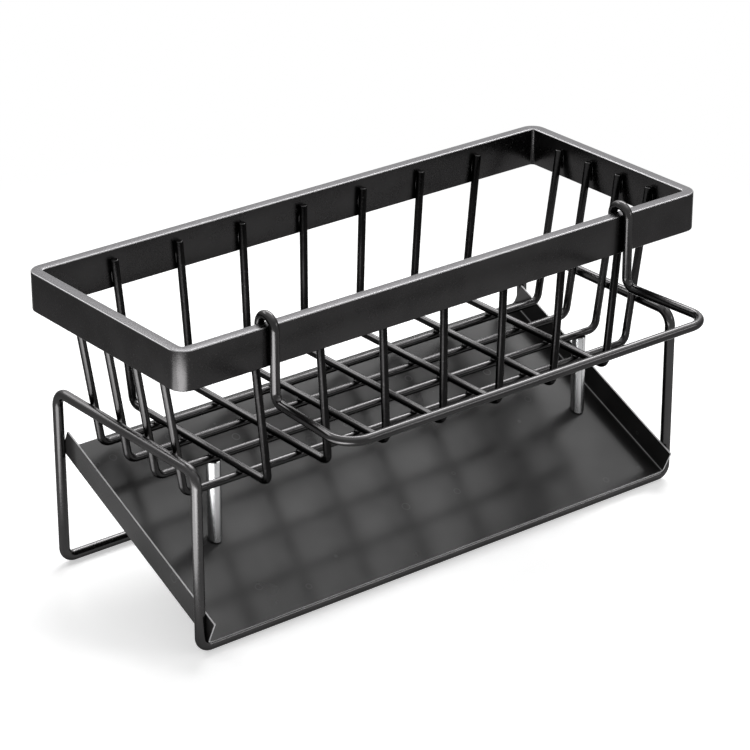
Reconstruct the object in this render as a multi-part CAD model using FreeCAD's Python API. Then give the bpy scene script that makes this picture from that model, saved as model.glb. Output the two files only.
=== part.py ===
# Kitchen sink caddy: a wire basket with a flat rim, standing in a bent-wire stand over a sloped drip tray,
# with a towel rail hooked over the basket's front rim.
# Millimetres. The origin is on the counter, at the centre of the stand's footprint.
# X runs along the caddy to the right, Y runs to the back, Z is up. The towel rail is at the front, on -Y.

import FreeCAD
import Part
import math
import os

# Rim band of the basket
rim_length = 240.0
rim_width = 95.0
rim_height = 15.0
rim_thickness = 4.5
rim_corner_radius = 6.0
rim_edge_radius = 0.5

# Wires of the basket
basket_wire = 3.0
basket_depth = 67.0
basket_floor_height = 52.0
wire_top_drop = 3.5
cross_wire_count = 7
cross_end_margin_at_rim = 34.5
cross_end_margin_at_floor = 40.5
cross_bend_radius = 3.0
long_wire_count = 4
long_side_margin = 21.85
long_bend_radius = 4.0

# Stand, one closed loop of wire
stand_wire = 4.0
stand_inset_x = 8.7
stand_inset_y = 4.3
stand_height = 72.3
stand_top_bend = 6.0
stand_foot_bend = 4.0

# Drip tray, one folded sheet
tray_sheet = 0.8
tray_slope = 24.6
tray_flange_height = 10.5
tray_fold_radius = 1.8
tray_front_overhang = 0.8

# Support posts under the basket
post_diameter = 5.4
post_edge_radius = 0.4
post_wire_row = 1
left_post_margin = 40.5
right_post_margin = 24.0

# Towel rail
rail_wire = 3.5
rail_reach = 42.5
rail_drop = 28.0
rail_splay = 2.6
rail_hook_depth = 7.0
rail_foot_bend = 4.0
rail_corner_bend = 9.0

# Fits
weld_sink = 0.1
seat_gap = 1.0
foot_gap = 0.3
hook_gap = 0.3
crown_gap = 0.15

# Working values of the construction
tiny = 1e-6
cut_over = 1.0

# Values worked out from the sizes above
wire_r = basket_wire / 2
stand_r = stand_wire / 2
rail_r = rail_wire / 2
rim_top = basket_floor_height + basket_depth
wire_top = rim_top - wire_top_drop
rim_inner_x = rim_length / 2 - rim_thickness
rim_inner_y = rim_width / 2 - rim_thickness
long_floor_z = basket_floor_height + wire_r
cross_floor_z = long_floor_z + basket_wire - weld_sink
leg_x = rim_length / 2 - stand_inset_x
leg_y = rim_width / 2 - stand_inset_y
stand_low_z = stand_r
stand_rail_z = stand_height - stand_r
slope = math.radians(tray_slope)


def vec(x, y, z):
    return FreeCAD.Vector(x, y, z)


# A bend at one corner of a wire's path: where it starts, its middle and where it ends
def bend(before, corner, after, radius):
    into = (corner - before).normalize()
    out = (after - corner).normalize()
    turn = into.getAngle(out)
    setback = radius * math.tan(turn / 2)
    to_middle = radius / math.cos(turn / 2) - radius
    middle = corner + (out - into).normalize() * to_middle
    return corner - into * setback, middle, corner + out * setback


# A round wire along straight runs with round bends, given the corners of its path
def bent_wire(points, bend_radii, wire_radius):
    edges = []
    start = points[0]
    for i in range(1, len(points) - 1):
        bend_start, middle, bend_end = bend(points[i - 1], points[i], points[i + 1], bend_radii[i - 1])
        if (bend_start - start).Length > tiny:
            edges.append(Part.makeLine(start, bend_start))
        edges.append(Part.Arc(bend_start, middle, bend_end).toShape())
        start = bend_end
    edges.append(Part.makeLine(start, points[-1]))
    first_run = points[1] - points[0]
    section = Part.Face(Part.Wire(Part.makeCircle(wire_radius, points[0], first_run)))
    return Part.Wire(edges).makePipe(section)


# A block with round upright corners, centred on the origin
def rounded_block(length, width, corner_radius, low, high):
    block = Part.makeBox(length, width, high - low, vec(-length / 2, -width / 2, low))
    upright = [e for e in block.Edges if e.BoundBox.XLength < tiny and e.BoundBox.YLength < tiny]
    return block.makeFillet(corner_radius, upright)


# Flat band round the top of the basket, with eased edges
def rim_band():
    low = rim_top - rim_height
    outer = rounded_block(rim_length, rim_width, rim_corner_radius, low, rim_top)
    inner_corner = rim_corner_radius - rim_thickness
    inner = rounded_block(2 * rim_inner_x, 2 * rim_inner_y, inner_corner, low - cut_over, rim_top + cut_over)
    band = outer.cut(inner)
    rims = [e for e in band.Edges if e.BoundBox.ZLength < tiny]
    return band.makeFillet(rim_edge_radius, rims)


# Places of the wires, counted from the left and from the front
def cross_x(index, end_margin):
    pitch = (rim_length - 2 * end_margin) / (cross_wire_count - 1)
    return (index - (cross_wire_count - 1) / 2) * pitch


def long_y(index):
    pitch = (rim_width - 2 * long_side_margin) / (long_wire_count - 1)
    return (index - (long_wire_count - 1) / 2) * pitch


# Front-to-back wire: both uprights lie on the rim's inner faces and fan in towards the floor
def cross_wire(index):
    top_x = cross_x(index, cross_end_margin_at_rim)
    floor_x = cross_x(index, cross_end_margin_at_floor)
    side_y = rim_inner_y - wire_r + weld_sink
    points = [
        vec(top_x, -side_y, wire_top),
        vec(floor_x, -side_y, cross_floor_z),
        vec(floor_x, side_y, cross_floor_z),
        vec(top_x, side_y, wire_top),
    ]
    return bent_wire(points, [cross_bend_radius] * 2, wire_r)


# End uprights lean in from the rim so that they pass just inside the stand's side rails
seat_x = leg_x - stand_r - seat_gap
end_lean = math.atan2(rim_inner_x - seat_x, wire_top - stand_rail_z)
end_top_x = rim_inner_x + weld_sink - wire_r / math.cos(end_lean)
end_floor_x = end_top_x - (wire_top - long_floor_z) * math.tan(end_lean)


# Left-to-right wire under the cross wires
def long_wire(index):
    y = long_y(index)
    points = [
        vec(-end_top_x, y, wire_top),
        vec(-end_floor_x, y, long_floor_z),
        vec(end_floor_x, y, long_floor_z),
        vec(end_top_x, y, wire_top),
    ]
    return bent_wire(points, [long_bend_radius] * 2, wire_r)


# Half of the stand's loop, from the middle of the left rail to the middle of the right rail
def stand_half(side):
    y = side * leg_y
    points = [
        vec(-leg_x, 0, stand_rail_z),
        vec(-leg_x, y, stand_rail_z),
        vec(-leg_x, y, stand_low_z),
        vec(leg_x, y, stand_low_z),
        vec(leg_x, y, stand_rail_z),
        vec(leg_x, 0, stand_rail_z),
    ]
    bends = [stand_top_bend, stand_foot_bend, stand_foot_bend, stand_top_bend]
    return bent_wire(points, bends, stand_r)


def stand_frame():
    return stand_half(-1).fuse(stand_half(1)).removeSplitter()


# The tray is drawn flat, with its underside on Z = 0 and the line that rests on the front bar at Y = 0
tray_half_x = leg_x - stand_r + weld_sink
tray_seat_y = -leg_y - (stand_r - weld_sink) * math.sin(slope)
tray_seat_z = stand_low_z + (stand_r - weld_sink) * math.cos(slope)
tray_back = (leg_y + stand_r - tray_seat_y) / math.cos(slope)


def tilt_to_slope(shape):
    tilted = shape.copy()
    tilted.rotate(vec(0, 0, 0), vec(1, 0, 0), tray_slope)
    tilted.translate(vec(0, tray_seat_y, tray_seat_z))
    return tilted


# A channel that is open at the top and at both ends, with round folds along its lower edges
def tray_block(half_x, low, fold_radius, front, back):
    block = Part.makeBox(2 * half_x, back - front, tray_flange_height - low, vec(-half_x, front, low))
    folds = [e for e in block.Edges if abs(e.BoundBox.ZMax - low) < tiny and e.BoundBox.XLength < tiny]
    return block.makeFillet(fold_radius, folds)


def drip_tray():
    outer = tray_block(tray_half_x, 0, tray_fold_radius, -tray_front_overhang, tray_back)
    inner_fold = tray_fold_radius - tray_sheet
    inner = tray_block(tray_half_x - tray_sheet, tray_sheet, inner_fold, -tray_front_overhang, tray_back)
    return tilt_to_slope(outer.cut(inner))


# Post welded under a long wire, cut to the tray's slope at its foot
def support_post(x):
    y = long_y(post_wire_row)
    post = Part.makeCylinder(post_diameter / 2, long_floor_z, vec(x, y, 0))
    run = 2 * leg_y
    under_tray = Part.makeBox(2 * leg_x, 2 * run, run, vec(-leg_x, -run / 2, tray_sheet + foot_gap - run))
    post = post.cut(tilt_to_slope(under_tray))
    foot = min(post.Faces, key=lambda f: f.CenterOfMass.z)
    post = post.makeFillet(post_edge_radius, foot.Edges)
    saddle = long_wire(post_wire_row)
    saddle.translate(vec(0, 0, weld_sink))
    return post.cut(saddle)


# One wire: a hook over the rim at each end, arms that splay to the front and the bar between them
def towel_rail():
    end_wire_x = cross_x(cross_wire_count - 1, cross_end_margin_at_rim)
    fan = cross_end_margin_at_floor - cross_end_margin_at_rim
    lean_at_hook = fan * (rail_hook_depth - wire_top_drop) / (wire_top - cross_floor_z)
    arm_x = end_wire_x - lean_at_hook - wire_r - rail_r - hook_gap
    outer_y = -rim_width / 2 - hook_gap - rail_r
    inner_y = -rim_inner_y + hook_gap + rail_r
    bar_y = outer_y - rail_reach
    crown_radius = (inner_y - outer_y) / 2
    to_edge = rim_thickness / 2 + hook_gap - rim_edge_radius - crown_gap
    crown_seat = math.sqrt(to_edge ** 2 - (rim_thickness / 2 - rim_edge_radius) ** 2)
    crown_z = rim_top - rim_edge_radius - crown_seat + crown_radius
    arm_z = rim_top - rail_drop
    half = [
        vec(-arm_x, inner_y, rim_top - rail_hook_depth),
        vec(-arm_x, inner_y, crown_z),
        vec(-arm_x, outer_y, crown_z),
        vec(-arm_x, outer_y, arm_z),
        vec(-arm_x - rail_splay, bar_y, arm_z),
    ]
    mirrored = [vec(-p.x, p.y, p.z) for p in reversed(half)]
    bends = [crown_radius, crown_radius, rail_foot_bend, rail_corner_bend]
    return bent_wire(half + mirrored, bends + bends[::-1], rail_r)


os.makedirs("parts", exist_ok=True)
nodes = {
    "rim_band": rim_band(),
    "stand_frame": stand_frame(),
    "drip_tray": drip_tray(),
    "left_support_post": support_post(left_post_margin - rim_length / 2),
    "right_support_post": support_post(rim_length / 2 - right_post_margin),
    "towel_rail": towel_rail(),
}
for i in range(cross_wire_count):
    nodes[f"cross_wire_{i + 1}"] = cross_wire(i)
for i in range(long_wire_count):
    nodes[f"long_wire_{i + 1}"] = long_wire(i)

for name, shape in nodes.items():
    solid = shape.Solids[0]
    shape.exportStep(f"parts/{name}.step")
    print(name, "solids", len(shape.Solids), "valid", shape.isValid(), "volume", round(solid.Volume, 1))
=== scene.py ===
import bpy
import bmesh
import math
from mathutils import Matrix, Vector


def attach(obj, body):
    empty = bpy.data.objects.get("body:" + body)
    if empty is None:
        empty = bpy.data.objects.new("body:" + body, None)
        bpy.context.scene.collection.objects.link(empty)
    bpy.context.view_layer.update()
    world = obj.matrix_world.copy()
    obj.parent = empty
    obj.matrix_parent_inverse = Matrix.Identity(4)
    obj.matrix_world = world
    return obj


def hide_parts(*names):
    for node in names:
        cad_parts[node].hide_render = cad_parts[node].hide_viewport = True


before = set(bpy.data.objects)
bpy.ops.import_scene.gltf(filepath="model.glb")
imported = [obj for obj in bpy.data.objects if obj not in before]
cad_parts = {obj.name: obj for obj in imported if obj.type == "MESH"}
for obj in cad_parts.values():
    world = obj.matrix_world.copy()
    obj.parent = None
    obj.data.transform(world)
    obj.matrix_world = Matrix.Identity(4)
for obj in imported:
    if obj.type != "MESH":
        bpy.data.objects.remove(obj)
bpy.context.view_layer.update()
scene = bpy.context.scene
mm = 0.001


def putNode(tree, kind, x, y, **settings):
    node = tree.nodes.new(kind)
    node.location = (x, y)
    for name, value in settings.items():
        setattr(node, name, value)
    return node


def join(tree, *ends):
    for fromSocket, toSocket in zip(ends[::2], ends[1::2]):
        tree.links.new(fromSocket, toSocket)


def math2(tree, operation, x, y, first, second=None, third=None):
    node = putNode(tree, "ShaderNodeMath", x, y, operation=operation)
    for slot, value in zip(node.inputs, (first, second, third)):
        if value is None:
            continue
        if isinstance(value, (int, float)):
            slot.default_value = value
        else:
            tree.links.new(value, slot)
    return node.outputs[0]


# shared shader groups
def shaderGroup(name, inputs, outputs):
    tree = bpy.data.node_groups.new(name, "ShaderNodeTree")
    for label, kind, value in inputs:
        socket = tree.interface.new_socket(label, in_out="INPUT", socket_type=kind)
        if value is not None:
            socket.default_value = value
    for label, kind in outputs:
        tree.interface.new_socket(label, in_out="OUTPUT", socket_type=kind)
    return tree, putNode(tree, "NodeGroupInput", -900, 0), putNode(tree, "NodeGroupOutput", 700, 0)


grainLook = {
    "pebbleDetail": 3.0,
    "pebbleRoughness": 0.55,
    "peelSmooth": 0.8,
    "peelShare": 0.45,
    "peelDepth": -0.6,
    "fleckFrom": 0.60,
    "fleckTo": 0.74,
    "cloudDetail": 2.0,
    "cloudFrom": 0.22,
    "cloudTo": 0.78,
}


# baked powder coat: a fine pebbled skin, slow cloudiness in the gloss
def makeCoatGrain():
    tree, start, end = shaderGroup(
        "coatGrain",
        [("Place", "NodeSocketVector", None), ("Pebble Scale", "NodeSocketFloat", 1400.0),
         ("Cloud Scale", "NodeSocketFloat", 60.0)],
        [("Height", "NodeSocketFloat"), ("Cloud", "NodeSocketFloat"), ("Fleck", "NodeSocketFloat")])
    pebble = putNode(tree, "ShaderNodeTexNoise", -600, 200)
    pebble.inputs["Detail"].default_value = grainLook["pebbleDetail"]
    pebble.inputs["Roughness"].default_value = grainLook["pebbleRoughness"]
    peel = putNode(tree, "ShaderNodeTexVoronoi", -600, -80, feature="SMOOTH_F1")
    peel.inputs["Smoothness"].default_value = grainLook["peelSmooth"]
    peelScale = math2(tree, "MULTIPLY", -760, -80, start.outputs["Pebble Scale"], grainLook["peelShare"])
    cloud = putNode(tree, "ShaderNodeTexNoise", -600, -380)
    cloud.inputs["Detail"].default_value = grainLook["cloudDetail"]
    join(tree, start.outputs["Place"], pebble.inputs["Vector"],
         start.outputs["Place"], peel.inputs["Vector"],
         start.outputs["Place"], cloud.inputs["Vector"],
         start.outputs["Pebble Scale"], pebble.inputs["Scale"],
         peelScale, peel.inputs["Scale"],
         start.outputs["Cloud Scale"], cloud.inputs["Scale"])
    height = math2(tree, "MULTIPLY_ADD", -300, 120, peel.outputs["Distance"], grainLook["peelDepth"],
                   pebble.outputs["Fac"])
    fleck = putNode(tree, "ShaderNodeMapRange", -300, 320, clamp=True)
    fleck.inputs["From Min"].default_value = grainLook["fleckFrom"]
    fleck.inputs["From Max"].default_value = grainLook["fleckTo"]
    spread = putNode(tree, "ShaderNodeMapRange", -300, -380, interpolation_type="SMOOTHSTEP")
    spread.inputs["From Min"].default_value = grainLook["cloudFrom"]
    spread.inputs["From Max"].default_value = grainLook["cloudTo"]
    join(tree, pebble.outputs["Fac"], fleck.inputs["Value"],
         cloud.outputs["Fac"], spread.inputs["Value"],
         height, end.inputs["Height"],
         spread.outputs["Result"], end.inputs["Cloud"],
         fleck.outputs["Result"], end.inputs["Fleck"])
    return tree


# how far up a surface faces, 1 for straight up
turnLook = {"edgeFrom": 0.35, "edgeFull": 0.55, "topFrom": 0.97, "topFull": 0.995, "upperFrom": 0.50,
            "upperFull": 0.95}


# from the surface's own slope: a rounded upper edge, a flat top, and the upper side of a round wire, the
# masks for the painted sheen of the black coats
def makeEdgeTurn():
    tree, _, end = shaderGroup("edgeTurn", [], [
        ("Edge", "NodeSocketFloat"), ("Top", "NodeSocketFloat"), ("Upper", "NodeSocketFloat")])
    shape = putNode(tree, "ShaderNodeNewGeometry", -700, 0)
    parts = putNode(tree, "ShaderNodeSeparateXYZ", -520, 0)
    rise = putNode(tree, "ShaderNodeMapRange", -300, 120, clamp=True)
    rise.inputs["From Min"].default_value = turnLook["edgeFrom"]
    rise.inputs["From Max"].default_value = turnLook["edgeFull"]
    fall = putNode(tree, "ShaderNodeMapRange", -300, -160, clamp=True)
    fall.inputs["From Min"].default_value = turnLook["topFull"]
    fall.inputs["From Max"].default_value = turnLook["topFrom"]
    upper = putNode(tree, "ShaderNodeMapRange", -300, -440, interpolation_type="SMOOTHSTEP")
    upper.inputs["From Min"].default_value = turnLook["upperFrom"]
    upper.inputs["From Max"].default_value = turnLook["upperFull"]
    join(tree, shape.outputs["Normal"], parts.inputs["Vector"],
         parts.outputs["Z"], rise.inputs["Value"],
         parts.outputs["Z"], fall.inputs["Value"],
         parts.outputs["Z"], upper.inputs["Value"],
         upper.outputs["Result"], end.inputs["Upper"])
    both = math2(tree, "MULTIPLY", 0, 0, rise.outputs["Result"], fall.outputs["Result"])
    flat = math2(tree, "SUBTRACT", 0, -200, 1.0, fall.outputs["Result"])
    join(tree, both, end.inputs["Edge"], flat, end.inputs["Top"])
    return tree


markLook = {"sizeRange": 0.14, "sizeLeast": 0.07, "ringWidth": 0.035, "blotEdge": 0.02, "blotFull": -0.06}


# dried marks: thin rings and faint blots of different sizes
def makeDriedMarks():
    tree, start, end = shaderGroup(
        "driedMarks",
        [("Place", "NodeSocketVector", None), ("Mark Scale", "NodeSocketFloat", 90.0),
         ("Amount", "NodeSocketFloat", 0.5)],
        [("Ring", "NodeSocketFloat"), ("Blot", "NodeSocketFloat")])
    cells = putNode(tree, "ShaderNodeTexVoronoi", -420, 0, feature="F1")
    cells.inputs["Randomness"].default_value = 1.0
    tint = putNode(tree, "ShaderNodeSeparateColor", -240, -200)
    join(tree, start.outputs["Place"], cells.inputs["Vector"],
         start.outputs["Mark Scale"], cells.inputs["Scale"],
         cells.outputs["Color"], tint.inputs["Color"])
    size = math2(tree, "MULTIPLY_ADD", -80, -120, tint.outputs["Red"], markLook["sizeRange"],
                 markLook["sizeLeast"])
    kept = math2(tree, "LESS_THAN", -80, -300, tint.outputs["Green"], start.outputs["Amount"])
    gap = math2(tree, "SUBTRACT", 80, 60, cells.outputs["Distance"], size)
    away = math2(tree, "ABSOLUTE", 220, 100, gap)
    ring = putNode(tree, "ShaderNodeMapRange", 380, 120, clamp=True)
    ring.inputs["From Min"].default_value = markLook["ringWidth"]
    ring.inputs["From Max"].default_value = 0.0
    blot = putNode(tree, "ShaderNodeMapRange", 380, -140, clamp=True)
    blot.inputs["From Min"].default_value = markLook["blotEdge"]
    blot.inputs["From Max"].default_value = markLook["blotFull"]
    join(tree, away, ring.inputs["Value"], gap, blot.inputs["Value"],
         math2(tree, "MULTIPLY", 540, 120, ring.outputs["Result"], kept), end.inputs["Ring"],
         math2(tree, "MULTIPLY", 540, -140, blot.outputs["Result"], kept), end.inputs["Blot"])
    return tree


coatGrain = makeCoatGrain()
edgeTurn = makeEdgeTurn()
driedMarks = makeDriedMarks()
print("shader groups:", coatGrain.name, edgeTurn.name, driedMarks.name)


def startMaterial(name):
    material = bpy.data.materials.new(name)
    material.use_nodes = True
    tree = material.node_tree
    shader = tree.nodes["Principled BSDF"]
    place = putNode(tree, "ShaderNodeTexCoord", -1300, 0)
    return material, tree, shader, place.outputs["Object"]


def useGroup(tree, group, x, y, **values):
    node = putNode(tree, "ShaderNodeGroup", x, y, node_tree=group)
    for label, value in values.items():
        node.inputs[label.replace("_", " ")].default_value = value
    return node


def mixColour(tree, x, y, factor, first, second):
    node = putNode(tree, "ShaderNodeMix", x, y, data_type="RGBA")
    join(tree, factor, node.inputs["Factor"])
    for slot, value in ((node.inputs["A"], first), (node.inputs["B"], second)):
        if isinstance(value, tuple):
            slot.default_value = value + (1.0,)
        else:
            tree.links.new(value, slot)
    return node.outputs["Result"]


# fleck is grain in the coat; edge, top and upper are lighter colours for painted highlights and sheen
blackCoatAndSheen = {
    "fleck": (0.060, 0.0585, 0.060),
    "edge": (0.25, 0.247, 0.251),
    "top": (0.100, 0.098, 0.101),
    "upper": (0.090, 0.088, 0.089),
    "grazing": 0.5,
    "fleckShare": 0.35,
    "meanRelief": 0.26,
    "bumpDepth": 0.06 * mm,
}


# painted sheen: a lighter colour where it faces up, on the upper sides of the wires, the rim's flat top and
# its narrow upper edges
def makeBlackCoat(name, look):
    material, tree, shader, place = startMaterial(name)
    grain = useGroup(tree, coatGrain, -1050, 100, Pebble_Scale=look["pebble"], Cloud_Scale=look["cloud"])
    join(tree, place, grain.inputs["Place"])
    skin = mixColour(tree, -760, 260, grain.outputs["Cloud"], look["deep"], look["worn"])
    faint = math2(tree, "MULTIPLY", -760, 60, grain.outputs["Fleck"], blackCoatAndSheen["fleckShare"])
    skin = mixColour(tree, -560, 260, faint, skin, blackCoatAndSheen["fleck"])
    turn = useGroup(tree, edgeTurn, -1050, -200)
    relief = grain.outputs["Height"]
    # painted sheen: on the rim a lighter flat top and a bright line along its upper edges, on the wires a
    # lighter upper side
    if "edgeSheenShare" in look:
        edgeSheen = math2(tree, "MULTIPLY", -760, -200, turn.outputs["Edge"], look["edgeSheenShare"])
        skin = mixColour(tree, -460, 460, turn.outputs["Top"], skin, blackCoatAndSheen["top"])
        skin = mixColour(tree, -360, 260, edgeSheen, skin, blackCoatAndSheen["edge"])
        calm = math2(tree, "SUBTRACT", -760, -320, 1.0, turn.outputs["Edge"])
        relief = math2(tree, "SUBTRACT", -760, -460, relief, blackCoatAndSheen["meanRelief"])
        relief = math2(tree, "MULTIPLY", -560, -360, relief, calm)
    else:
        skin = mixColour(tree, -360, 260, turn.outputs["Upper"], skin, blackCoatAndSheen["upper"])
    gloss = putNode(tree, "ShaderNodeMapRange", -560, 0)
    gloss.inputs["To Min"].default_value, gloss.inputs["To Max"].default_value = look["roughness"]
    bump = putNode(tree, "ShaderNodeBump", -360, -260)
    bump.inputs["Strength"].default_value = look["bump"]
    bump.inputs["Distance"].default_value = blackCoatAndSheen["bumpDepth"]
    dull = math2(tree, "MULTIPLY_ADD", -360, 0, grain.outputs["Fleck"], look["grit"], gloss.outputs["Result"])
    join(tree, skin, shader.inputs["Base Color"],
         grain.outputs["Cloud"], gloss.inputs["Value"],
         dull, shader.inputs["Roughness"],
         relief, bump.inputs["Height"],
         bump.outputs["Normal"], shader.inputs["Normal"])
    shader.inputs["Metallic"].default_value = 1.0
    shader.inputs["Specular Tint"].default_value = (blackCoatAndSheen["grazing"],) * 3 + (1.0,)
    return material


trayCoat = {
    "deep": (0.0120, 0.0116, 0.0117),
    "light": (0.0200, 0.0193, 0.0195),
    "mark": (0.080, 0.080, 0.082),
    # cut is a light colour on the cut edges and the fold creases, a painted highlight
    "cut": (0.78, 0.78, 0.79),
    "glossLow": 0.17,
    "glossHigh": 0.21,
    "specular": 0.0,
    "lacquer": (0.138, 0.178),
    "lacquerGloss": 0.19,
    "lacquerIndex": 3.0,
    "pebble": 1700.0,
    "cloud": 38.0,
    "bump": 0.16,
    "bumpDepth": 0.05 * mm,
    "markScale": 120.0,
    "markAmount": 0.40,
    "ringShare": 0.28,
    "blotDull": 0.04,
    "cutSheenRange": 0.3,
    "cutSheenLeast": 0.6,
}


def makeTrayCoat():
    material, tree, shader, place = startMaterial("trayCoatFinish")
    grain = useGroup(tree, coatGrain, -1050, 100, Pebble_Scale=trayCoat["pebble"],
                     Cloud_Scale=trayCoat["cloud"])
    marks = useGroup(tree, driedMarks, -1050, -220, Mark_Scale=trayCoat["markScale"],
                     Amount=trayCoat["markAmount"])
    cut = putNode(tree, "ShaderNodeAttribute", -1050, -480, attribute_name="sheetEdgeSheen")
    join(tree, place, grain.inputs["Place"], place, marks.inputs["Place"])
    skin = mixColour(tree, -760, 260, grain.outputs["Cloud"], trayCoat["deep"], trayCoat["light"])
    ringed = math2(tree, "MULTIPLY", -760, -160, marks.outputs["Ring"], trayCoat["ringShare"])
    skin = mixColour(tree, -560, 260, ringed, skin, trayCoat["mark"])
    # painted highlight on the cut edges and fold creases, a little uneven with the cloud
    worn = math2(tree, "MULTIPLY_ADD", -760, -480, grain.outputs["Cloud"], trayCoat["cutSheenRange"],
                 trayCoat["cutSheenLeast"])
    worn = math2(tree, "MULTIPLY", -560, -480, cut.outputs["Fac"], worn)
    skin = mixColour(tree, -360, 260, worn, skin, trayCoat["cut"])
    gloss = putNode(tree, "ShaderNodeMapRange", -760, 40)
    gloss.inputs["To Min"].default_value = trayCoat["glossLow"]
    gloss.inputs["To Max"].default_value = trayCoat["glossHigh"]
    dull = math2(tree, "MULTIPLY_ADD", -560, -60, marks.outputs["Blot"], trayCoat["blotDull"],
                 gloss.outputs["Result"])
    bump = putNode(tree, "ShaderNodeBump", -360, -260)
    bump.inputs["Strength"].default_value = trayCoat["bump"]
    bump.inputs["Distance"].default_value = trayCoat["bumpDepth"]
    lacquer = putNode(tree, "ShaderNodeMapRange", -560, -420)
    lacquer.inputs["To Min"].default_value, lacquer.inputs["To Max"].default_value = trayCoat["lacquer"]
    shader.inputs["Coat Roughness"].default_value = trayCoat["lacquerGloss"]
    shader.inputs["Coat IOR"].default_value = trayCoat["lacquerIndex"]
    join(tree, grain.outputs["Cloud"], gloss.inputs["Value"],
         grain.outputs["Cloud"], lacquer.inputs["Value"],
         lacquer.outputs["Result"], shader.inputs["Coat Weight"],
         skin, shader.inputs["Base Color"],
         dull, shader.inputs["Roughness"],
         grain.outputs["Height"], bump.inputs["Height"],
         bump.outputs["Normal"], shader.inputs["Normal"])
    shader.inputs["Specular IOR Level"].default_value = trayCoat["specular"]
    return material


postSteel = {
    "light": (0.45, 0.45, 0.455),
    "dark": (0.33, 0.33, 0.335),
    "glossLow": 0.20,
    "glossHigh": 0.28,
    "stretch": 0.95,
    "ringShape": (0.04, 0.04, 1.0),
    "ringScale": 9000.0,
    "ringDetail": 2.0,
    "smearScale": 160.0,
    "smearDetail": 4.0,
    "bump": 0.04,
    "bumpDepth": 0.01 * mm,
}


# turned and polished: fine rings round the post draw the highlights out along it
def makePostSteel():
    material, tree, shader, place = startMaterial("polishedPostSteel")
    rings = putNode(tree, "ShaderNodeMapping", -1100, 0)
    rings.inputs["Scale"].default_value = postSteel["ringShape"]
    turned = putNode(tree, "ShaderNodeTexNoise", -900, 60)
    turned.inputs["Scale"].default_value = postSteel["ringScale"]
    turned.inputs["Detail"].default_value = postSteel["ringDetail"]
    smear = putNode(tree, "ShaderNodeTexNoise", -900, -220)
    smear.inputs["Scale"].default_value = postSteel["smearScale"]
    smear.inputs["Detail"].default_value = postSteel["smearDetail"]
    along = putNode(tree, "ShaderNodeTangent", -360, -480, direction_type="UV_MAP", uv_map="postWrap")
    join(tree, place, rings.inputs["Vector"], rings.outputs["Vector"], turned.inputs["Vector"],
         place, smear.inputs["Vector"], along.outputs["Tangent"], shader.inputs["Tangent"])
    skin = mixColour(tree, -600, 240, smear.outputs["Fac"], postSteel["dark"], postSteel["light"])
    gloss = putNode(tree, "ShaderNodeMapRange", -600, 0)
    gloss.inputs["To Min"].default_value = postSteel["glossLow"]
    gloss.inputs["To Max"].default_value = postSteel["glossHigh"]
    bump = putNode(tree, "ShaderNodeBump", -360, -260)
    bump.inputs["Strength"].default_value = postSteel["bump"]
    bump.inputs["Distance"].default_value = postSteel["bumpDepth"]
    join(tree, skin, shader.inputs["Base Color"],
         smear.outputs["Fac"], gloss.inputs["Value"],
         gloss.outputs["Result"], shader.inputs["Roughness"],
         turned.outputs["Fac"], bump.inputs["Height"],
         bump.outputs["Normal"], shader.inputs["Normal"])
    shader.inputs["Metallic"].default_value = 1.0
    shader.inputs["Anisotropic"].default_value = postSteel["stretch"]
    return material


coats = {
    "rim": {"pebble": 1200.0, "cloud": 55.0, "bump": 0.30, "deep": (0.0235, 0.0228, 0.0231),
            "worn": (0.0325, 0.0316, 0.0319), "roughness": (0.24, 0.30),
            "grit": 0.25, "edgeSheenShare": 0.9},
    # the cross and long wires share one coat in two copies: the cross wires' darker copy is painted shade,
    # the long wires' lighter copy a painted highlight
    "cross": {"pebble": 1500.0, "cloud": 55.0, "bump": 0.16, "deep": (0.0060, 0.0058, 0.0059),
              "worn": (0.0085, 0.0083, 0.0084), "roughness": (0.18, 0.26),
              "grit": 0.05},
    "long": {"pebble": 1500.0, "cloud": 55.0, "bump": 0.16, "deep": (0.0185, 0.0181, 0.0183),
             "worn": (0.0245, 0.0240, 0.0241), "roughness": (0.18, 0.26),
             "grit": 0.05},
    "stand": {"pebble": 1350.0, "cloud": 42.0, "bump": 0.16, "deep": (0.035, 0.0342, 0.0345),
              "worn": (0.046, 0.0450, 0.0454), "roughness": (0.20, 0.28),
              "grit": 0.05},
    "rail": {"pebble": 1450.0, "cloud": 48.0, "bump": 0.14, "deep": (0.026, 0.0254, 0.0257),
             "worn": (0.035, 0.0342, 0.0345), "roughness": (0.17, 0.25),
             "grit": 0.05},
}
rimFinish = makeBlackCoat("rimCoatFinish", coats["rim"])
crossShadedFinish = makeBlackCoat("crossWireShadedCoat", coats["cross"])
longLitFinish = makeBlackCoat("longWireLitCoat", coats["long"])
standFinish = makeBlackCoat("standCoatFinish", coats["stand"])
railFinish = makeBlackCoat("railCoatFinish", coats["rail"])
trayFinish = makeTrayCoat()
postFinish = makePostSteel()
finishes = (rimFinish, crossShadedFinish, longLitFinish, standFinish, railFinish, trayFinish, postFinish)
print("finishes:", [m.name for m in finishes])


# geometry trees, and the angle in degrees over which their edges stay crisp
crispAngle = {"wire": 50, "band": 40, "bead": 120}


def growTree(name, inputs):
    tree = bpy.data.node_groups.new(name, "GeometryNodeTree")
    tree.interface.new_socket("Geometry", in_out="INPUT", socket_type="NodeSocketGeometry")
    for label, kind in inputs:
        tree.interface.new_socket(label, in_out="INPUT", socket_type=kind)
    tree.interface.new_socket("Geometry", in_out="OUTPUT", socket_type="NodeSocketGeometry")
    return tree, putNode(tree, "NodeGroupInput", -900, 0), putNode(tree, "NodeGroupOutput", 1100, 0)


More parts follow.
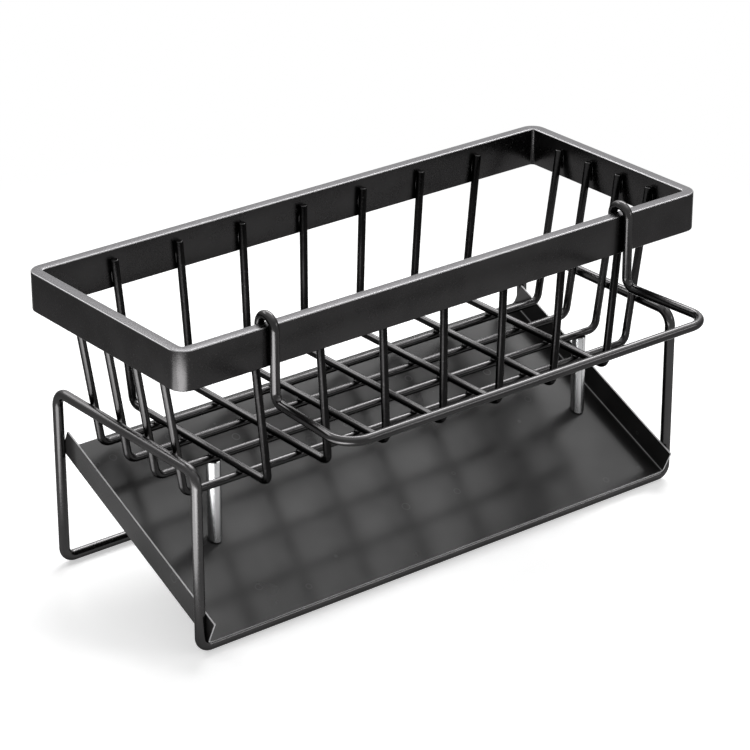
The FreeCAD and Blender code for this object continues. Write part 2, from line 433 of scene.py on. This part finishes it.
# smooth faces, crisp where they meet at an angle, then real geometry with its finish
def finishTree(tree, start, end, shape, crispFrom):
    smooth = putNode(tree, "GeometryNodeSetShadeSmooth", 300, 0)
    angle = putNode(tree, "GeometryNodeInputMeshEdgeAngle", 300, -240)
    steep = putNode(tree, "FunctionNodeCompare", 460, -240, data_type="FLOAT", operation="GREATER_THAN")
    steep.inputs["B"].default_value = math.radians(crispFrom)
    crisp = putNode(tree, "GeometryNodeSetShadeSmooth", 600, 0, domain="EDGE")
    crisp.inputs["Shade Smooth"].default_value = False
    real = putNode(tree, "GeometryNodeRealizeInstances", 780, 0)
    coat = putNode(tree, "GeometryNodeSetMaterial", 940, 0)
    join(tree, shape, smooth.inputs["Geometry"],
         smooth.outputs["Geometry"], crisp.inputs["Geometry"],
         angle.outputs["Unsigned Angle"], steep.inputs["A"],
         steep.outputs["Result"], crisp.inputs["Selection"],
         crisp.outputs["Geometry"], real.inputs["Geometry"],
         real.outputs["Geometry"], coat.inputs["Geometry"],
         start.outputs["Finish"], coat.inputs["Material"],
         coat.outputs["Geometry"], end.inputs["Geometry"])


def roundedPath(tree, start):
    line = putNode(tree, "GeometryNodeMeshToCurve", -700, 120)
    radius = putNode(tree, "GeometryNodeInputNamedAttribute", -700, -60, data_type="FLOAT")
    radius.inputs["Name"].default_value = "bendRadius"
    bends = putNode(tree, "GeometryNodeFilletCurve", -500, 120, mode="POLY")
    join(tree, start.outputs["Geometry"], line.inputs["Mesh"],
         line.outputs["Curve"], bends.inputs["Curve"],
         radius.outputs["Attribute"], bends.inputs["Radius"],
         start.outputs["Bend Steps"], bends.inputs["Count"])
    return bends.outputs["Curve"]


def makeBentWire():
    tree, start, end = growTree("bentWire", [
        ("Wire Radius", "NodeSocketFloat"), ("Round Sides", "NodeSocketInt"),
        ("Bend Steps", "NodeSocketInt"), ("Finish", "NodeSocketMaterial")])
    ring = putNode(tree, "GeometryNodeCurvePrimitiveCircle", -300, -160, mode="RADIUS")
    girth = putNode(tree, "GeometryNodeInputNamedAttribute", -300, -340, data_type="FLOAT")
    girth.inputs["Name"].default_value = "girth"
    sweep = putNode(tree, "GeometryNodeCurveToMesh", 0, 60)
    sweep.inputs["Fill Caps"].default_value = True
    join(tree, roundedPath(tree, start), sweep.inputs["Curve"],
         start.outputs["Round Sides"], ring.inputs["Resolution"],
         start.outputs["Wire Radius"], ring.inputs["Radius"],
         ring.outputs["Curve"], sweep.inputs["Profile Curve"],
         girth.outputs["Attribute"], sweep.inputs["Scale"])
    finishTree(tree, start, end, sweep.outputs["Mesh"], crispAngle["wire"])
    return tree


def makeFlatBand():
    tree, start, end = growTree("flatBand", [
        ("Band Height", "NodeSocketFloat"), ("Band Thickness", "NodeSocketFloat"),
        ("Edge Radius", "NodeSocketFloat"), ("Bend Steps", "NodeSocketInt"), ("Edge Steps", "NodeSocketInt"),
        ("Finish", "NodeSocketMaterial")])
    level = putNode(tree, "GeometryNodeSetCurveNormal", -300, 120, mode="Z_UP")
    bar = putNode(tree, "GeometryNodeCurvePrimitiveQuadrilateral", -500, -220, mode="RECTANGLE")
    eased = putNode(tree, "GeometryNodeFilletCurve", -300, -220, mode="POLY")
    sweep = putNode(tree, "GeometryNodeCurveToMesh", 0, 60)
    join(tree, roundedPath(tree, start), level.inputs["Curve"],
         level.outputs["Curve"], sweep.inputs["Curve"],
         start.outputs["Band Thickness"], bar.inputs["Width"],
         start.outputs["Band Height"], bar.inputs["Height"],
         bar.outputs["Curve"], eased.inputs["Curve"],
         start.outputs["Edge Radius"], eased.inputs["Radius"],
         start.outputs["Edge Steps"], eased.inputs["Count"],
         eased.outputs["Curve"], sweep.inputs["Profile Curve"])
    finishTree(tree, start, end, sweep.outputs["Mesh"], crispAngle["band"])
    return tree


# a small bead of weld on every point, sized by the point
def makeWeldBeads():
    tree, start, end = growTree("weldBeads", [
        ("Bead Detail", "NodeSocketInt"), ("Finish", "NodeSocketMaterial")])
    bead = putNode(tree, "GeometryNodeMeshIcoSphere", -500, -160)
    bead.inputs["Radius"].default_value = 1.0
    size = putNode(tree, "GeometryNodeInputNamedAttribute", -500, -340, data_type="FLOAT_VECTOR")
    size.inputs["Name"].default_value = "beadSize"
    spots = putNode(tree, "GeometryNodeMeshToPoints", -500, 60)
    place = putNode(tree, "GeometryNodeInstanceOnPoints", -200, 60)
    join(tree, start.outputs["Geometry"], spots.inputs["Mesh"],
         spots.outputs["Points"], place.inputs["Points"],
         start.outputs["Bead Detail"], bead.inputs["Subdivisions"],
         bead.outputs["Mesh"], place.inputs["Instance"],
         size.outputs["Attribute"], place.inputs["Scale"])
    solid = putNode(tree, "GeometryNodeRealizeInstances", 40, 60)
    join(tree, place.outputs["Instances"], solid.inputs["Geometry"])
    finishTree(tree, start, end, solid.outputs["Geometry"], crispAngle["bead"])
    return tree


bentWire = makeBentWire()
flatBand = makeFlatBand()
weldBeads = makeWeldBeads()
print("geometry trees:", bentWire.name, flatBand.name, weldBeads.name)


# corners of a path, with the bend at each corner and the girth of what runs along it
def pathMesh(points, bends, girths=None, closed=False):
    mesh = bpy.data.meshes.new("path")
    edges = [(i, i + 1) for i in range(len(points) - 1)]
    if closed:
        edges.append((len(points) - 1, 0))
    mesh.from_pydata(points, edges, [])
    mesh.attributes.new("bendRadius", "FLOAT", "POINT").data.foreach_set("value", bends)
    mesh.attributes.new("girth", "FLOAT", "POINT").data.foreach_set("value", girths or [1.0] * len(points))
    return mesh


# the path or points go through a tree and come back as a plain mesh
def growPiece(name, seed, tree, values):
    holder = bpy.data.objects.new(name + "_seed", seed)
    scene.collection.objects.link(holder)
    modifier = holder.modifiers.new("grow", "NODES")
    modifier.node_group = tree
    for item in tree.interface.items_tree:
        if item.item_type == "SOCKET" and item.in_out == "INPUT" and item.name in values:
            modifier[item.identifier] = values[item.name]
    holder.update_tag()
    shown = holder.evaluated_get(bpy.context.evaluated_depsgraph_get())
    mesh = bpy.data.meshes.new_from_object(shown)
    holder.modifiers.remove(modifier)
    bpy.data.objects.remove(holder)
    mesh.name = name
    piece = bpy.data.objects.new(name, mesh)
    scene.collection.objects.link(piece)
    return piece


def settle(piece, body, slotName, *solids):
    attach(piece, body)
    if solids:
        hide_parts(*solids)
    return piece


wireEnd = {"shoulderAt": 0.35, "tip": 0.80, "shoulder": 0.95}


# a wire's end is eased over its last fraction of a millimetre
def easedEnds(points, bends, ease):
    first = (points[1] - points[0]).normalized()
    last = (points[-2] - points[-1]).normalized()
    path = [points[0], points[0] + first * ease * wireEnd["shoulderAt"], points[0] + first * ease]
    path += points[1:-1]
    path += [points[-1] + last * ease, points[-1] + last * ease * wireEnd["shoulderAt"], points[-1]]
    end = [wireEnd["tip"], wireEnd["shoulder"], 1.0]
    return path, [0.0] * 3 + bends + [0.0] * 3, end + [1.0] * len(bends) + end[::-1]


rim = {"length": 240 * mm, "width": 95 * mm, "height": 15 * mm, "thickness": 4.5 * mm, "corner": 6 * mm,
       "edge": 0.5 * mm, "top": 119 * mm, "cornerSteps": 14, "edgeSteps": 4}


def makeRim():
    halfX = (rim["length"] - rim["thickness"]) / 2
    halfY = (rim["width"] - rim["thickness"]) / 2
    z = rim["top"] - rim["height"] / 2
    corners = [(-halfX, -halfY, z), (halfX, -halfY, z), (halfX, halfY, z), (-halfX, halfY, z)]
    bend = rim["corner"] - rim["thickness"] / 2
    seed = pathMesh([Vector(c) for c in corners], [bend] * len(corners), closed=True)
    return growPiece("rim_band_coated", seed, flatBand, {
        "Band Height": rim["height"], "Band Thickness": rim["thickness"], "Edge Radius": rim["edge"],
        "Bend Steps": rim["cornerSteps"], "Edge Steps": rim["edgeSteps"], "Finish": rimFinish})


settle(makeRim(), "basket", "basket_coat", "rim_band")
print("rim done")


basketWires = {"radius": 1.5 * mm, "top": 115.5 * mm, "sink": 0.1 * mm, "floor": 53.5 * mm,
               "crossCount": 7, "crossTopEnd": 85.5 * mm, "crossFloorEnd": 79.5 * mm, "crossBend": 3 * mm,
               "longCount": 4, "longEnd": 25.65 * mm, "longBend": 4 * mm,
               "ease": 0.35 * mm, "sides": 30, "bendSteps": 14}
innerX = rim["length"] / 2 - rim["thickness"]
innerY = rim["width"] / 2 - rim["thickness"]
# the basket's end wires lean in to pass inside the stand, so its sizes are needed here
stand = {"radius": 2 * mm, "legX": 111.3 * mm, "legY": 43.2 * mm, "height": 72.3 * mm, "topBend": 6 * mm,
         "footBend": 4 * mm, "seatGap": 1 * mm, "sides": 34, "bendSteps": 16}
crossFloor = basketWires["floor"] + 2 * basketWires["radius"] - basketWires["sink"]
wireSide = innerY - basketWires["radius"] + basketWires["sink"]
seatX = stand["legX"] - stand["radius"] - stand["seatGap"]
endLean = math.atan2(innerX - seatX, basketWires["top"] - stand["height"] + stand["radius"])
endTop = innerX + basketWires["sink"] - basketWires["radius"] / math.cos(endLean)
endFloor = endTop - (basketWires["top"] - basketWires["floor"]) * math.tan(endLean)


def spread(count, end):
    return [end * (2 * i / (count - 1) - 1) for i in range(count)]


def basketWire(name, points, bend, finish):
    path, bends, girths = easedEnds(points, [bend] * (len(points) - 2), basketWires["ease"])
    return growPiece(name, pathMesh(path, bends, girths), bentWire, {
        "Wire Radius": basketWires["radius"], "Round Sides": basketWires["sides"],
        "Bend Steps": basketWires["bendSteps"], "Finish": finish})


crossTops = spread(basketWires["crossCount"], basketWires["crossTopEnd"])
crossFloors = spread(basketWires["crossCount"], basketWires["crossFloorEnd"])
longRows = spread(basketWires["longCount"], basketWires["longEnd"])
for i, (topX, floorX) in enumerate(zip(crossTops, crossFloors), 1):
    bent = basketWire(f"cross_wire_{i}_coated", [
        Vector((topX, -wireSide, basketWires["top"])), Vector((floorX, -wireSide, crossFloor)),
        Vector((floorX, wireSide, crossFloor)), Vector((topX, wireSide, basketWires["top"]))],
        basketWires["crossBend"], crossShadedFinish)
    settle(bent, "basket", "basket_coat", f"cross_wire_{i}")
for i, y in enumerate(longRows, 1):
    bent = basketWire(f"long_wire_{i}_coated", [
        Vector((-endTop, y, basketWires["top"])), Vector((-endFloor, y, basketWires["floor"])),
        Vector((endFloor, y, basketWires["floor"])), Vector((endTop, y, basketWires["top"]))],
        basketWires["longBend"], longLitFinish)
    settle(bent, "basket", "basket_coat", f"long_wire_{i}")
print("basket wires done")


welds = {"crossing": (1.75 * mm, 1.75 * mm, 0.62 * mm), "rimSide": 1.25 * mm, "rimDepth": 0.45 * mm,
         "rimTall": 4.2 * mm, "rimLift": 1.2 * mm, "endLift": 2 * mm, "detail": 3}


def makeBasketWelds():
    spots = []
    sizes = []
    joint = basketWires["floor"] + basketWires["radius"] - basketWires["sink"] / 2
    for x in crossFloors:
        for y in longRows:
            spots.append((x, y, joint))
            sizes.append(welds["crossing"])
    low = rim["top"] - rim["height"]
    middle = low + welds["rimTall"] + welds["rimLift"]
    share = (basketWires["top"] - middle) / (basketWires["top"] - crossFloor)
    for topX, floorX in zip(crossTops, crossFloors):
        x = topX + (floorX - topX) * share
        for side in (-1, 1):
            spots.append((x, side * innerY, middle))
            sizes.append((welds["rimSide"], welds["rimDepth"], welds["rimTall"]))
    for y in longRows:
        for side in (-1, 1):
            spots.append((side * innerX, y, middle + welds["endLift"]))
            sizes.append((welds["rimDepth"], welds["rimSide"], welds["rimTall"]))
    seed = bpy.data.meshes.new("weldSpots")
    seed.from_pydata(spots, [], [])
    flat = [v for size in sizes for v in size]
    seed.attributes.new("beadSize", "FLOAT_VECTOR", "POINT").data.foreach_set("vector", flat)
    return growPiece("basket_weld_beads", seed, weldBeads, {
        "Bead Detail": welds["detail"], "Finish": crossShadedFinish})


settle(makeBasketWelds(), "basket", "basket_coat")
print("welds done")


def makeStand():
    x, y = stand["legX"], stand["legY"]
    low, high = stand["radius"], stand["height"] - stand["radius"]
    corners = [(-x, y, high), (-x, -y, high), (-x, -y, low), (x, -y, low),
               (x, -y, high), (x, y, high), (x, y, low), (-x, y, low)]
    bends = [stand["topBend"], stand["topBend"], stand["footBend"], stand["footBend"]] * 2
    seed = pathMesh([Vector(c) for c in corners], bends, closed=True)
    return growPiece("stand_frame_coated", seed, bentWire, {
        "Wire Radius": stand["radius"], "Round Sides": stand["sides"], "Bend Steps": stand["bendSteps"],
        "Finish": standFinish})


settle(makeStand(), "stand", "stand_coat", "stand_frame")
print("stand done")


towelRail = {"radius": 1.75 * mm, "reach": 42.5 * mm, "drop": 28 * mm, "splay": 2.6 * mm, "hookDepth": 7 * mm,
             "footBend": 4 * mm, "cornerBend": 9 * mm, "gap": 0.3 * mm, "crownGap": 0.15 * mm,
             "crownShare": 0.999, "ease": 0.4 * mm, "sides": 34, "bendSteps": 18}


def makeTowelRail():
    fan = basketWires["crossTopEnd"] - basketWires["crossFloorEnd"]
    atHook = towelRail["hookDepth"] - (rim["top"] - basketWires["top"])
    lean = fan * atHook / (basketWires["top"] - crossFloor)
    armX = basketWires["crossTopEnd"] - lean - basketWires["radius"] - towelRail["radius"] - towelRail["gap"]
    outerY = -rim["width"] / 2 - towelRail["gap"] - towelRail["radius"]
    hookY = -innerY + towelRail["gap"] + towelRail["radius"]
    crown = (hookY - outerY) / 2
    toEdge = rim["thickness"] / 2 + towelRail["gap"] - rim["edge"] - towelRail["crownGap"]
    crownSeat = math.sqrt(toEdge ** 2 - (rim["thickness"] / 2 - rim["edge"]) ** 2)
    crownZ = rim["top"] - rim["edge"] - crownSeat + crown
    armZ = rim["top"] - towelRail["drop"]
    half = [(-armX, hookY, rim["top"] - towelRail["hookDepth"]),
            (-armX, hookY, crownZ),
            (-armX, outerY, crownZ),
            (-armX, outerY, armZ),
            (-armX - towelRail["splay"], outerY - towelRail["reach"], armZ)]
    crownBend = crown * towelRail["crownShare"]  # just short of meeting the next bend
    bends = [crownBend, crownBend, towelRail["footBend"], towelRail["cornerBend"]]
    points = [Vector(p) for p in half] + [Vector((-p[0], p[1], p[2])) for p in reversed(half)]
    path, bends, girths = easedEnds(points, bends + bends[::-1], towelRail["ease"])
    return growPiece("towel_rail_coated", pathMesh(path, bends, girths), bentWire, {
        "Wire Radius": towelRail["radius"], "Round Sides": towelRail["sides"],
        "Bend Steps": towelRail["bendSteps"], "Finish": railFinish})


settle(makeTowelRail(), "towel_rail", "rail_coat", "towel_rail")
print("towel rail done")


tray = {"sheet": 0.8 * mm, "slope": 24.6, "flange": 10.5 * mm, "fold": 1.8 * mm, "overhang": 0.8 * mm,
        "sink": 0.1 * mm, "edge": 0.22 * mm, "edgeSegments": 3, "edgeAngle": 60, "foldSteps": 8,
        # the crease share is the painted highlight at the middle of each inner fold
        "creaseSheen": 0.30}
# the line on the front bar where the tray rests
slope = math.radians(tray["slope"])
rest = stand["radius"] - tray["sink"]
seatY = -stand["legY"] - rest * math.sin(slope)
seatZ = stand["radius"] + rest * math.cos(slope)


# the sheet's outline across the tray, outside first and then back along the inside
def trayOutline(half):
    sheet, fold, top = tray["sheet"], tray["fold"], tray["flange"]
    turns = [math.radians(90 * i / tray["foldSteps"]) for i in range(tray["foldSteps"] + 1)]
    outer = [(-half, top)]
    outer += [(-half + fold - fold * math.cos(a), fold - fold * math.sin(a)) for a in turns]
    outer += [(-x, z) for x, z in reversed(outer)]
    inside = fold - sheet
    wall = half - sheet
    inner = [(wall, top)]
    inner += [(wall - inside + inside * math.cos(a), fold - inside * math.sin(a)) for a in turns]
    inner += [(-x, z) for x, z in reversed(inner)]
    return outer + inner


def makeTray():
    half = stand["legX"] - stand["radius"] + tray["sink"]
    back = (stand["legY"] + stand["radius"] - seatY) / math.cos(slope)
    outline = trayOutline(half)
    shape = bmesh.new()
    rings = []
    for y in (-tray["overhang"], back):
        rings.append([shape.verts.new((x, y, z)) for x, z in outline])
    count = len(outline)
    steps = tray["foldSteps"]
    # painted highlight: full on the flange tops and cut ends, a smaller share at the middle of each inner
    # fold
    sheenFaces = {count // 2 - 1: 1.0, count - 1: 1.0}  # the tops of the two flanges
    for fold in (count // 2 + 1 + steps // 2, count - 2 - steps // 2):  # the middle of each inner fold
        sheenFaces[fold - 1] = tray["creaseSheen"]
        sheenFaces[fold] = tray["creaseSheen"]
    cut = shape.faces.layers.float.new("sheetEdgeSheen")  # 1 where the sheet is cut through
    for i in range(count):
        j = (i + 1) % count
        side = shape.faces.new((rings[0][i], rings[0][j], rings[1][j], rings[1][i]))
        side[cut] = sheenFaces.get(i, 0.0)
    for ring in rings:  # the cut ends of the sheet, as a strip of quads
        for i in range(count // 2 - 1):
            end = shape.faces.new((ring[i], ring[i + 1], ring[count - 2 - i], ring[count - 1 - i]))
            end[cut] = 1.0
    bmesh.ops.recalc_face_normals(shape, faces=shape.faces)
    place = Matrix.Translation((0, seatY, seatZ)) @ Matrix.Rotation(slope, 4, "X")
    bmesh.ops.transform(shape, matrix=place, verts=shape.verts)
    mesh = bpy.data.meshes.new("drip_tray_coated")
    shape.to_mesh(mesh)
    shape.free()
    piece = bpy.data.objects.new("drip_tray_coated", mesh)
    scene.collection.objects.link(piece)
    mesh.materials.append(trayFinish)
    mesh.shade_smooth()
    ease = piece.modifiers.new("sheetEdges", "BEVEL")
    ease.width = tray["edge"]
    ease.segments = tray["edgeSegments"]
    ease.limit_method = "ANGLE"
    ease.angle_limit = math.radians(tray["edgeAngle"])
    ease.harden_normals = True
    return piece


settle(makeTray(), "stand", "tray_coat", "drip_tray")
print("tray done")


post = {"radius": 2.7 * mm, "edge": 0.4 * mm, "row": 1, "footGap": 0.3 * mm, "leftX": -79.5 * mm,
        "rightX": 96 * mm, "overlap": 0.5 * mm, "sides": 72, "edgeSteps": 4, "capMiddle": 0.5}


# a straight post: the foot is cut to the tray's slope, the top runs a little into the wire over it
def makePost(name, x):
    y = longRows[post["row"]]
    lift = (tray["sheet"] + post["footGap"]) / math.cos(slope)
    top = basketWires["floor"] - basketWires["radius"] + post["overlap"]
    turns = [math.radians(90 * i / post["edgeSteps"]) for i in range(post["edgeSteps"] + 1)]
    profile = []
    for a in turns:
        inset = post["edge"] * (1 - math.sin(a))
        rise = post["edge"] * (1 - math.cos(a))
        profile.append((post["radius"] - inset, rise, False))
    for a in turns:
        inset = post["edge"] * (1 - math.cos(a))
        rise = -post["edge"] * (1 - math.sin(a))
        profile.append((post["radius"] - inset, rise, True))
    shape = bmesh.new()
    rings = []
    for radius, rise, atTop in profile:
        ring = []
        for i in range(post["sides"]):
            angle = 2 * math.pi * i / post["sides"]
            px = x + radius * math.cos(angle)
            py = y + radius * math.sin(angle)
            low = seatZ + (py - seatY) * math.tan(slope) + lift
            ring.append(shape.verts.new((px, py, top + rise if atTop else low + rise)))
        rings.append(ring)
    wrap = shape.loops.layers.uv.new("postWrap")  # u runs up the post, v round it
    for k, (below, above) in enumerate(zip(rings, rings[1:])):
        for i in range(post["sides"]):
            j = (i + 1) % post["sides"]
            face = shape.faces.new((below[i], below[j], above[j], above[i]))
            for loop, (up, turn) in zip(face.loops, ((k, i), (k, i + 1), (k + 1, i + 1), (k + 1, i))):
                loop[wrap].uv = (up / (len(rings) - 1), turn / post["sides"])
    for face in (shape.faces.new(rings[0][::-1]), shape.faces.new(rings[-1])):
        for loop in face.loops:
            loop[wrap].uv = (loop.vert.co.x - x + post["capMiddle"], loop.vert.co.y - y + post["capMiddle"])
    mesh = bpy.data.meshes.new(name)
    shape.to_mesh(mesh)
    shape.free()
    mesh.materials.append(postFinish)
    mesh.shade_smooth()
    piece = bpy.data.objects.new(name, mesh)
    scene.collection.objects.link(piece)
    return piece


settle(makePost("left_post_polished", post["leftX"]), "basket", "post_steel", "left_support_post")
settle(makePost("right_post_polished", post["rightX"]), "basket", "post_steel", "right_support_post")
print("posts done")


# floor, light and camera
studio = {"floorSize": 8.0, "floorDrop": 0.2 * mm, "floorTone": 0.88, "floorLift": 0.50, "fadeFrom": 0.16,
          "fadeTo": 0.40, "ambient": 0.18}


# 1 for what is seen straight, in a reflection or through something clear
def seenRay(tree, x, y):
    path = putNode(tree, "ShaderNodeLightPath", x - 400, y)
    seen = math2(tree, "MAXIMUM", x - 200, y, path.outputs["Is Camera Ray"], path.outputs["Is Glossy Ray"])
    return math2(tree, "MAXIMUM", x, y, seen, path.outputs["Is Transmission Ray"])


def makeFloor():
    bpy.ops.mesh.primitive_plane_add(size=studio["floorSize"], location=(0, 0, -studio["floorDrop"]))
    floor = bpy.context.object
    floor.name = "pale_floor"
    material = bpy.data.materials.new("paleFloor")
    material.use_nodes = True
    tree = material.node_tree
    tree.nodes.clear()
    out = putNode(tree, "ShaderNodeOutputMaterial", 600, 0)
    matte = putNode(tree, "ShaderNodeBsdfDiffuse", 0, 140)
    matte.inputs["Color"].default_value = (studio["floorTone"],) * 3 + (1.0,)
    lift = putNode(tree, "ShaderNodeEmission", 0, 0)
    near = putNode(tree, "ShaderNodeAddShader", 200, 80)
    far = putNode(tree, "ShaderNodeEmission", 200, -140)
    seen = seenRay(tree, -300, -100)
    glow = math2(tree, "MULTIPLY", -140, 0, seen, studio["floorLift"])
    place = putNode(tree, "ShaderNodeTexCoord", -900, -360)
    away = putNode(tree, "ShaderNodeVectorMath", -700, -360, operation="LENGTH")
    fade = putNode(tree, "ShaderNodeMapRange", -500, -360, interpolation_type="SMOOTHSTEP")
    fade.inputs["From Min"].default_value = studio["fadeFrom"]
    fade.inputs["From Max"].default_value = studio["fadeTo"]
    whole = putNode(tree, "ShaderNodeMixShader", 400, 0)
    join(tree, place.outputs["Object"], away.inputs[0], away.outputs["Value"], fade.inputs["Value"],
         math2(tree, "MULTIPLY", -140, -260, seen, fade.outputs["Result"]), whole.inputs["Fac"],
         glow, lift.inputs["Strength"],
         matte.outputs["BSDF"], near.inputs[0], lift.outputs["Emission"], near.inputs[1],
         near.outputs["Shader"], whole.inputs[1], far.outputs["Emission"], whole.inputs[2],
         whole.outputs["Shader"], out.inputs["Surface"])
    floor.data.materials.append(material)


def makeWorld():
    world = bpy.data.worlds.new("studio")
    scene.world = world
    world.use_nodes = True
    tree = world.node_tree
    sky = tree.nodes["Background"]
    sky.inputs["Color"].default_value = (1.0, 1.0, 1.0, 1.0)
    seen = seenRay(tree, -400, 0)
    level = math2(tree, "MULTIPLY_ADD", -200, 0, seen, 1.0 - studio["ambient"], studio["ambient"])
    join(tree, level, sky.inputs["Strength"])


# panels: where they stand, what they look at, width and height, radiance
lamps = {
    "backPanel": {"at": (0.80, 1.00, 0.56), "aim": (0, 0, 0.10), "size": (1.6, 0.9), "glow": 1.9},
    "backStrip": {"at": (0.70, 0.60, 0.98), "aim": (0, 0, 0.06), "size": (0.9, 0.32), "glow": 10.7},
    "leftPanel": {"at": (-0.27, 0.97, 0.95), "aim": (0, 0, 0.06), "size": (0.9, 0.35), "glow": 4.0},
    "topPanel": {"at": (0.62, 0.05, 1.15), "aim": (0, 0, 0.03), "size": (1.0, 0.9), "glow": 0.75},
    "frontStrip": {"at": (0.68, -0.86, 0.52), "aim": (0, 0, 0.04), "size": (0.5, 0.12), "glow": 11.5},
    "lowCard": {"at": (-0.29, -0.115, 0.004), "aim": (-0.29, -0.115, 1.0),
                "size": (0.265, 0.29), "glow": 7.8},
    "cornerCard": {"at": (-0.305, -0.195, 0.006), "aim": (-0.305, -0.195, 1.0),
                   "size": (0.24, 0.22), "glow": 7.5},
}


def makeLamps():
    for name, look in lamps.items():
        light = bpy.data.lights.new(name, "AREA")
        light.shape = "RECTANGLE"
        light.size, light.size_y = look["size"]
        light.energy = look["glow"] * math.pi * light.size * light.size_y
        lamp = bpy.data.objects.new(name, light)
        lamp.location = look["at"]
        lamp.rotation_euler = (Vector(look["aim"]) - Vector(look["at"])).to_track_quat("-Z", "Y").to_euler()
        lamp.visible_camera = False
        scene.collection.objects.link(lamp)


view = {"azimuth": -38.412, "elevation": 24.655, "roll": -0.063, "distance": 1.15448, "across": 0.0010966,
        "up": -0.0534843, "lens": 151.52, "sensor": 36.0, "clip": 0.05}


def makeCamera():
    camera = bpy.data.cameras.new("photoView")
    camera.lens = view["lens"]
    camera.sensor_width = view["sensor"]
    camera.clip_start = view["clip"]
    eye = bpy.data.objects.new("photoView", camera)
    turn = Matrix.Rotation(math.radians(view["azimuth"]), 4, "Z")
    turn @= Matrix.Rotation(math.radians(90 - view["elevation"]), 4, "X")
    turn @= Matrix.Rotation(math.radians(view["roll"]), 4, "Z")
    reach = Vector((view["across"], view["up"], view["distance"]))
    eye.matrix_world = Matrix.Translation(Vector((0, 0, rim["top"])) + turn.to_3x3() @ reach) @ turn
    scene.collection.objects.link(eye)
    scene.camera = eye


makeFloor()
makeWorld()
makeLamps()
makeCamera()
scene.view_settings.view_transform = "Standard"
print("studio done")
